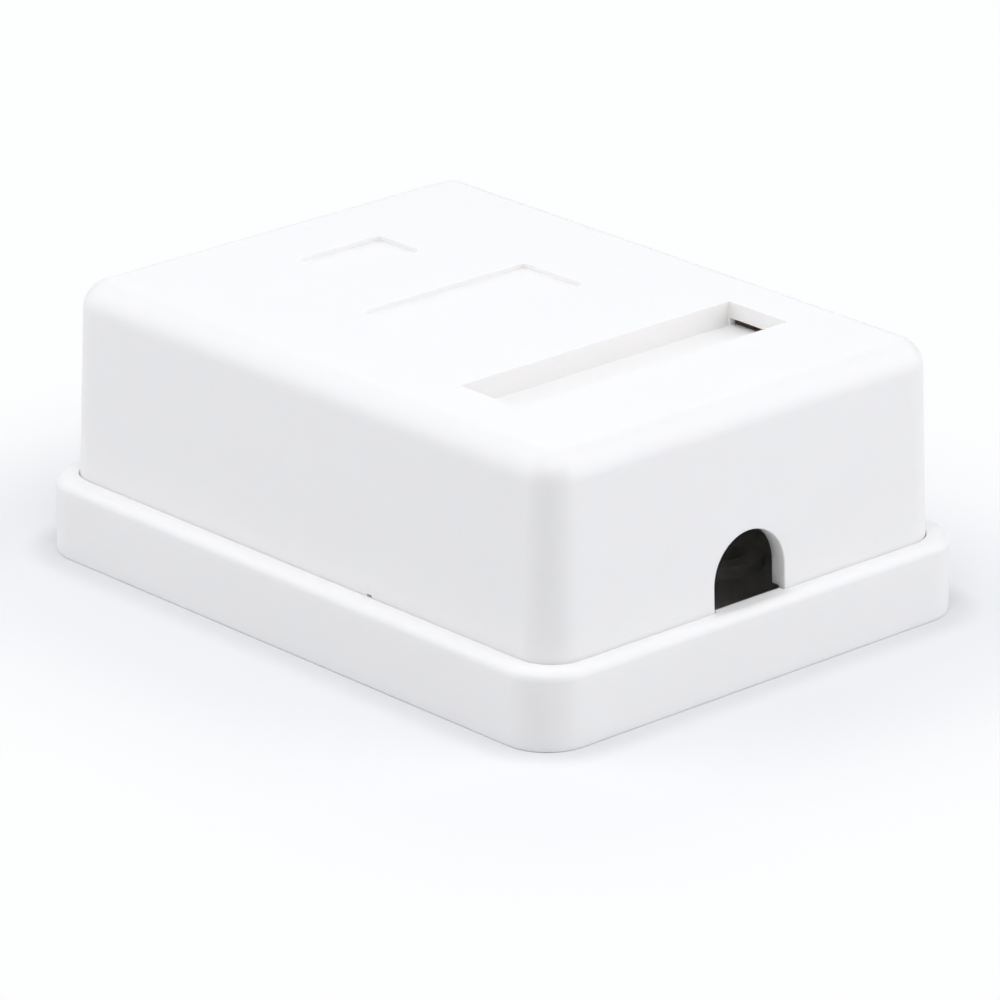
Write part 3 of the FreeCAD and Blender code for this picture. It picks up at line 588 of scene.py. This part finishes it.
class JACKBOX_OT_stage(bpy.types.Operator):
    """Add the pale table, the camera, the lamps and the even light"""
    bl_idname = "jackbox.add_stage"
    bl_label = "Stage"

    def execute(self, context):
        look = context.scene.jack_box_stage
        rest()
        bpy.ops.mesh.primitive_plane_add(size=6.0, location=(0, 0, 0))
        table = named(bpy.context.object, "table")
        table.data.materials.append(floor_material())

        back = Vector((math.cos(look.azimuth) * math.cos(look.elevation),
                       math.sin(look.azimuth) * math.cos(look.elevation), math.sin(look.elevation)))
        side = Vector((-math.sin(look.azimuth), math.cos(look.azimuth), 0.0))
        up = back.cross(side)
        right = side * math.cos(look.roll) + up * math.sin(look.roll)
        up = up * math.cos(look.roll) - side * math.sin(look.roll)
        bpy.ops.object.camera_add(location=LOOK_AT + back * look.distance)
        camera = bpy.context.object
        camera.name = "camera"
        turn = camera.matrix_world.to_3x3()
        for row in range(3):
            turn[row] = (right[row], up[row], back[row])
        camera.rotation_euler = turn.to_euler()
        camera.data.sensor_width = 36.0
        camera.data.lens = look.focal_length
        camera.data.clip_start = 0.01
        camera.data.clip_end = 20.0
        context.scene.camera = camera

        set_world(look.sky)
        soft_lamp("lamp_above", (0, 0, 560), 420, look.top_lamp)
        soft_lamp("lamp_left", (298, -356, 313), 580, look.left_lamp)
        soft_lamp("lamp_right", (-347, 359, 254), 580, look.right_lamp)
        soft_lamp("lamp_front", (191, 205, 485), 400, look.front_lamp)
        soft_lamp("lamp_back", (-324, -347, 297), 400, look.back_lamp)
        context.scene.view_settings.view_transform = "Standard"
        return {"FINISHED"}


# ---- cover ---------------------------------------------------------------------------------------

def cover_walls(sizes):
    """The hood: drafted walls, round corners and top, hollow, with the skirt under its edge."""
    hood = leaning_block("cover_hood", COVER_HALF, RIM, TOP, sizes.cover_corner / MM, 12,
                         sizes.cover_lean / MM)
    pick_edges(hood, level(TOP))
    bevel(sizes.cover_round / MM, 10)
    # The face within the skirt is larger than this, in square millimetres, and the strips are not.
    skirt, large, inner_lean, inner_round = 0.8, 500, 0.56, 0.9
    pick_faces(hood, lambda middle, normal, area: near(middle.z, RIM) and normal.z < -0.9)
    bpy.ops.mesh.inset(thickness=skirt * MM)
    pick_faces(hood, lambda middle, normal, area: near(middle.z, RIM) and normal.z < -0.9
               and area < large)
    extrude((0, 0, SKIRT_BOTTOM - RIM))
    pick_faces(hood, lambda middle, normal, area: near(middle.z, RIM) and area > large)
    bpy.ops.mesh.inset(thickness=(COVER_WALL - skirt) * MM)
    extrude((0, 0, CEILING - RIM))
    inner = (COVER_HALF[0] - COVER_WALL, COVER_HALF[1] - COVER_WALL)
    resize(taper(inner, inner_lean), CEILING)
    pick_edges(hood, lambda a, b: level(CEILING)(a, b) and abs(a.x) < inner[0]
               and abs(a.y) < inner[1])
    bevel(inner_round, 4)
    return hood


def arch_cutter(name, width, low_z, high_z, low_y, high_y):
    """A bar along the box with a half-round top, for the cable's way in."""
    cutter = block(name, (-width / 2, low_y, low_z), (width / 2, high_y, high_z))
    pick_edges(cutter, lambda a, b: near(a.z, high_z) and near(b.z, high_z) and near(a.x, b.x))
    # A hair less than half the width, so that the two rounds don't meet in one edge.
    bevel(width / 2 - 0.0005, 24)
    return cutter


def rounded_sink(name, half_x, half_y, middle, corner):
    """A cutter for a shallow recess with round corners."""
    cutter = block(name, (middle[0] - half_x, middle[1] - half_y, SINK_FLOOR),
                   (middle[0] + half_x, middle[1] + half_y, CLEAR))
    pick_edges(cutter, upright)
    bevel(corner, 8)
    return cutter


class JACKBOX_OT_cover(bpy.types.Operator):
    """Add the snap-on cover, with its recesses, cable arch, plug opening, tubes and ribs"""
    bl_idname = "jackbox.add_cover"
    bl_label = "Cover"

    def execute(self, context):
        sizes = context.scene.jack_box_sizes
        cover = cover_walls(sizes)
        added = [block("label_pan", (-16.5, 11.275, 21.2), (16.5, 20.325, ROOF_ROOT))]
        for side in (-1, 1):
            added.append(post("guide_tube", on_side(GUIDE_AT, side), 4.6, ROOF_ROOT, 2.86, 40))
            added.append(block("hold_down_rib", (4.5 * side - 0.6, -23.9, PLUG_TOP),
                               (4.5 * side + 0.6, -12.9, ROOF_ROOT)))
        combine(cover, "UNION", added)
        cut = [arch_cutter("cable_arch", ARCH_WIDTH, 5.0, 13.2, 27.0, 34.0),
               block("plug_gate", (-7.95, -34.0, 5.0), (7.95, -28.0, PLUG_TOP))]
        cut += [post("guide_bore", on_side(GUIDE_AT, side), 4.0, 13.8, 1.56) for side in (-1, 1)]
        cut += [post("ejector_mark", (x, y), CEILING - 0.5, CEILING + 0.08, 1.4, 28)
                for x, y in ((-12, -8), (12, -8), (-12, 25), (12, 25))]
        combine(cover, "DIFFERENCE", cut)
        tidy_flats(cover)
        soften(cover, sizes.edge_radius / MM)
        # The recesses are cut after the larger radius, which would eat their thin walls.
        combine(cover, "DIFFERENCE", [
            block("label_well", (-15.8, 12.05, WELL_FLOOR), (15.5, 19.15, CLEAR)),
            block("pry_nick", (22.5, 8.7, 6.9), (24.0, 9.3, RIM + 0.15)),
            rounded_sink("class_sink", 9.36, 3.86, (-0.24, -3.36), 0.6),
            rounded_sink("port_sink", 4.74, 2.8, (-0.4, -18.4), 0.6)])
        combine(cover, "DIFFERENCE", [block("tab_slot", (-17.7, 12.15, WELL_FLOOR),
                                            (-14.0, 19.0, 23.3))])
        tidy_flats(cover)
        soften(cover, sizes.sink_radius / MM)
        smooth(cover)
        finished(named(cover, "cover_moulding"), "cover_body", "white_abs", white_abs(), "cover")
        return {"FINISHED"}


# ---- base ----------------------------------------------------------------------------------------

def stepped_rib(name, low, high, step_at, axis, outward):
    """A rib that stands low against the rim and high inside the skirt's groove."""
    rib = block(name, low, (high[0], high[1], RIB_STEP))
    only(rib)
    bpy.ops.object.mode_set(mode="EDIT")
    bpy.ops.mesh.select_all(action="SELECT")
    point, normal = [0, 0, 0], [0, 0, 0]
    point[axis], normal[axis] = step_at * MM, 1
    bpy.ops.mesh.bisect(plane_co=point, plane_no=normal)
    bpy.ops.object.mode_set(mode="OBJECT")
    pick_faces(rib, lambda middle, face_normal, area: near(middle.z, RIB_STEP)
               and (step_at - middle[axis]) * outward > 0)
    extrude((0, 0, RIM - RIB_STEP))
    bpy.ops.object.mode_set(mode="OBJECT")
    return rib


def tray_ribs():
    """Upright ribs round the inside of the rim that the cover's wall rests on."""
    thick, reach, groove, overlap = 0.6, 2.5, 1.02, 0.4
    ribs = []
    for side in (-1, 1):
        for along in (-22.0, -8.0, 11.0, 23.0):
            ends = sorted((side * (RIM_HALF[0] - reach), side * (RIM_HALF[0] + overlap)))
            ribs.append(stepped_rib("side_rib", (ends[0], along - thick, ROOT),
                                    (ends[1], along + thick, RIM),
                                    side * (RIM_HALF[0] - groove), 0, side))
        for across in (10.5, 17.5):
            for end in (-1, 1):
                ends = sorted((end * (RIM_HALF[1] - reach), end * (RIM_HALF[1] + overlap)))
                ribs.append(stepped_rib("end_rib", (side * across - thick, ends[0], ROOT),
                                        (side * across + thick, ends[1], RIM),
                                        end * (RIM_HALF[1] - groove), 1, end))
    return ribs


def guide_pin(side):
    """A locating pin with a tapered tip."""
    shoulder, tip = 11.0, 12.0
    x, y = on_side(GUIDE_AT, side)
    pin = post("guide_pin", (x, y), ROOT, shoulder, 1.5)
    pick_faces(pin, lambda middle, normal, area: near(middle.z, shoulder))
    extrude((0, 0, tip - shoulder))
    bpy.ops.transform.resize(value=(0.667, 0.667, 1), center_override=(x * MM, y * MM, tip * MM))
    bpy.ops.object.mode_set(mode="OBJECT")
    return pin


class JACKBOX_OT_base(bpy.types.Operator):
    """Add the tray-shaped base, with its ribs, posts, pins, wall fixings and cable-tie slots"""
    bl_idname = "jackbox.add_base"
    bl_label = "Base"

    def execute(self, context):
        sizes = context.scene.jack_box_sizes
        base = rounded_block("base_tray", BASE_HALF, 0.0, RIM, sizes.base_corner / MM, 14)
        pick_edges(base, level(RIM))
        bevel(sizes.rim_round / MM, 6)
        combine(base, "DIFFERENCE", [rounded_block("tray_hollow", RIM_HALF, FLOOR, RIM + 2.0,
                                                   TRAY_CORNER, 12)])
        added, cut = tray_ribs(), []
        for side in (-1, 1):
            screw, stake, fixing = (on_side(at, side) for at in (SCREW_AT, STAKE_AT, FIXING_AT))
            added.append(post("screw_post", screw, ROOT, BOARD_UNDERSIDE, 2.3))
            added.append(post("stake_post", stake, ROOT, BOARD_UNDERSIDE, 2.3))
            added.append(post("stake", stake, 4.4, 7.4, 0.95, 24))
            added.append(guide_pin(side))
            added.append(post("fixing_ring", fixing, ROOT, 3.0, 4.0, 40))
            cut.append(post("screw_pilot", screw, 1.05, 5.0, 0.91, 20))
            cut.append(post("fixing_hole", fixing, -1.0, 4.0, 2.1))
            cut.append(block("tie_slot", (TIE_ACROSS * side - 0.8, 24.0, -1.0),
                             (TIE_ACROSS * side + 0.8, 28.0, 3.0)))
        added.append(block("cable_sill", (-3.9, 30.6, 5.0), (3.9, 31.4, RIM)))
        combine(base, "UNION", added, crossing=True)
        cut += [post("ejector_mark", (x, y), FLOOR - 0.08, FLOOR + 0.5, 1.3, 28)
                for x, y in ((-17, -13), (17, -13), (-18, 22), (18, 22), (0, 8), (0, 19))]
        combine(base, "DIFFERENCE", cut)
        # The groove is a little narrower than the slots, so that no two faces lie in one plane.
        combine(base, "DIFFERENCE", [block("tie_groove", (-4.4, 24.05, -1.0), (4.4, 27.95, 0.9))])
        tidy_flats(base)
        soften(base, sizes.edge_radius / MM)
        smooth(base)
        finished(named(base, "base_moulding"), "base_body", "white_abs", white_abs(), "base")
        return {"FINISHED"}


# ---- copper and print on the board ---------------------------------------------------------------

# What lies on the board starts just inside it, at this level.
PRINT_ROOT = BOARD_FACE - 0.02


def track(points, width=0.5):
    """A copper track under the resist. It starts along the box and may slant after that."""
    (x, y), (_, turn) = points[:2]
    strip = block("track", (x - width / 2, y, PRINT_ROOT), (x + width / 2, turn, BOARD_FACE + 0.04))
    pick_faces(strip, lambda middle, normal, area: near(middle.y, turn) and normal.y > 0.9)
    for before, after in zip(points[1:], points[2:]):
        extrude((after[0] - before[0], after[1] - before[1], 0))
    bpy.ops.object.mode_set(mode="OBJECT")
    return strip


def ink_frame(low, high):
    """The outline of a component, printed on the board."""
    line, ink_top = 0.16, BOARD_FACE + 0.05
    outline = block("ink_frame", low + (PRINT_ROOT,), high + (ink_top,))
    inside = block("ink_inside", (low[0] + line, low[1] + line, PRINT_ROOT - 1),
                   (high[0] - line, high[1] - line, ink_top + 1))
    return combine(outline, "DIFFERENCE", [inside])


def eyelet(x, y, radius=0.55):
    """A tinned through-hole: a flat ring round a dimple."""
    ring = post("eyelet", (x, y), PRINT_ROOT, BOARD_FACE + 0.06, radius, 20)
    pick_faces(ring, lambda middle, normal, area: normal.z > 0.9)
    bpy.ops.mesh.inset(thickness=0.22 * MM)
    extrude((0, 0, -0.05))
    bpy.ops.object.mode_set(mode="OBJECT")
    return ring


class JACKBOX_OT_print(bpy.types.Operator):
    """Add the board's copper tracks, its tinned eyelets and its printed outlines"""
    bl_idname = "jackbox.add_print"
    bl_label = "Board tracks and print"

    def execute(self, context):
        tracks, eyelets = [], []
        for side in (-1, 1):
            for across in (3.05, 6.15):
                tracks.append(track([(across * side, -13.6), (across * side, -9.0)]))
            for inner, outer, start in ((7.1, 9.25, -21.5), (6.8, 12.35, -19.2)):
                slant = (outer - inner) * 0.8
                tracks.append(track([(inner * side, start - 0.6), (inner * side, start),
                                     (outer * side, start + slant), (outer * side, -9.0)]))
            tracks.append(track([(10.6 * side, -4.9), (10.6 * side, -3.4), (9.4 * side, -1.9)],
                                0.8))
            eyelets += [eyelet(9.4 * side, -1.9), eyelet(9.25 * side, -14.4, 0.5),
                        eyelet(12.35 * side, -13.2, 0.5)]
        finished(gather("board_tracks", tracks), "base_body", "board_laminate",
                 resist_over_copper())
        eyes = gather("board_eyelets", eyelets)
        smooth(eyes)
        finished(eyes, "base_body", "tinned_bronze", tinned_bronze())
        frames = [ink_frame((-8.0, -27.4), (8.0, -12.55)),
                  ink_frame((-14.75, -11.15), (-0.65, -4.05)),
                  ink_frame((0.65, -11.15), (14.75, -4.05))]
        finished(gather("board_legend", frames), "base_body", "board_laminate", white_ink())
        return {"FINISHED"}


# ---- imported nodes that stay: their finish --------------------------------------------------------

def dress(node, material, edge_mm=0.0):
    """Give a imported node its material, and round its sharp edges with modifiers that stay live."""
    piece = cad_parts[node]
    piece.data.materials.clear()
    piece.data.materials.append(material)
    weld = piece.modifiers.new("merge", "WELD")
    weld.merge_threshold = 0.0005 * MM
    flats = piece.modifiers.new("flats", "DECIMATE")
    flats.decimate_type = "DISSOLVE"
    flats.angle_limit = math.radians(0.5)
    if edge_mm:
        edge = piece.modifiers.new("edges", "BEVEL")
        edge.width = edge_mm * MM
        edge.segments = 2
        edge.limit_method = "ANGLE"
        edge.angle_limit = SHARP
        edge.use_clamp_overlap = False


class JACKBOX_OT_works(bpy.types.Operator):
    """Finish the board, its screws, the jack, its contacts and the wire terminals"""
    bl_idname = "jackbox.finish_works"
    bl_label = "Board, jack and terminals"

    def execute(self, context):
        dress("circuit_board", solder_mask())
        dress("board_screws", zinc_plate(), 0.08)
        dress("jack_housing", black_nylon(), 0.08)
        for number in range(1, 9):
            dress("jack_contact_%d" % number, gilt_wire(), 0.04)
        for side in ("left", "right"):
            dress("terminal_block_" + side, ivory_polycarbonate(), 0.06)
            dress("terminal_cap_" + side, ivory_polycarbonate(), 0.06)
            for number in range(1, 5):
                dress("wire_fork_%s_%d" % (side, number), tinned_bronze(), 0.04)
        return {"FINISHED"}


# ---- panel, registration and the run -------------------------------------------------------------

OPERATORS = (JACKBOX_OT_stage, JACKBOX_OT_cover, JACKBOX_OT_base, JACKBOX_OT_print,
             JACKBOX_OT_works)


class JACKBOX_PT_panel(bpy.types.Panel):
    """Pieces and sizes of the jack box"""
    bl_label = "Jack box"
    bl_idname = "JACKBOX_PT_panel"
    bl_space_type = "VIEW_3D"
    bl_region_type = "UI"
    bl_category = "Jack box"

    def draw(self, context):
        for operator in OPERATORS:
            self.layout.operator(operator.bl_idname)
        for group in (context.scene.jack_box_sizes, context.scene.jack_box_stage):
            box = self.layout.box()
            for name in group.__annotations__:
                box.prop(group, name)


CLASSES = (JackBoxSizes, JackBoxStage) + OPERATORS + (JACKBOX_PT_panel,)


def register():
    for item in CLASSES:
        bpy.utils.register_class(item)
    bpy.types.Scene.jack_box_sizes = bpy.props.PointerProperty(type=JackBoxSizes)
    bpy.types.Scene.jack_box_stage = bpy.props.PointerProperty(type=JackBoxStage)


def unregister():
    del bpy.types.Scene.jack_box_stage
    del bpy.types.Scene.jack_box_sizes
    for item in reversed(CLASSES):
        bpy.utils.unregister_class(item)


def main():
    """Build the whole scene."""
    register()
    bpy.ops.jackbox.add_stage()
    bpy.ops.jackbox.add_cover()
    bpy.ops.jackbox.add_base()
    bpy.ops.jackbox.add_print()
    bpy.ops.jackbox.finish_works()
    rest()


if __name__ == "__main__":
    main()
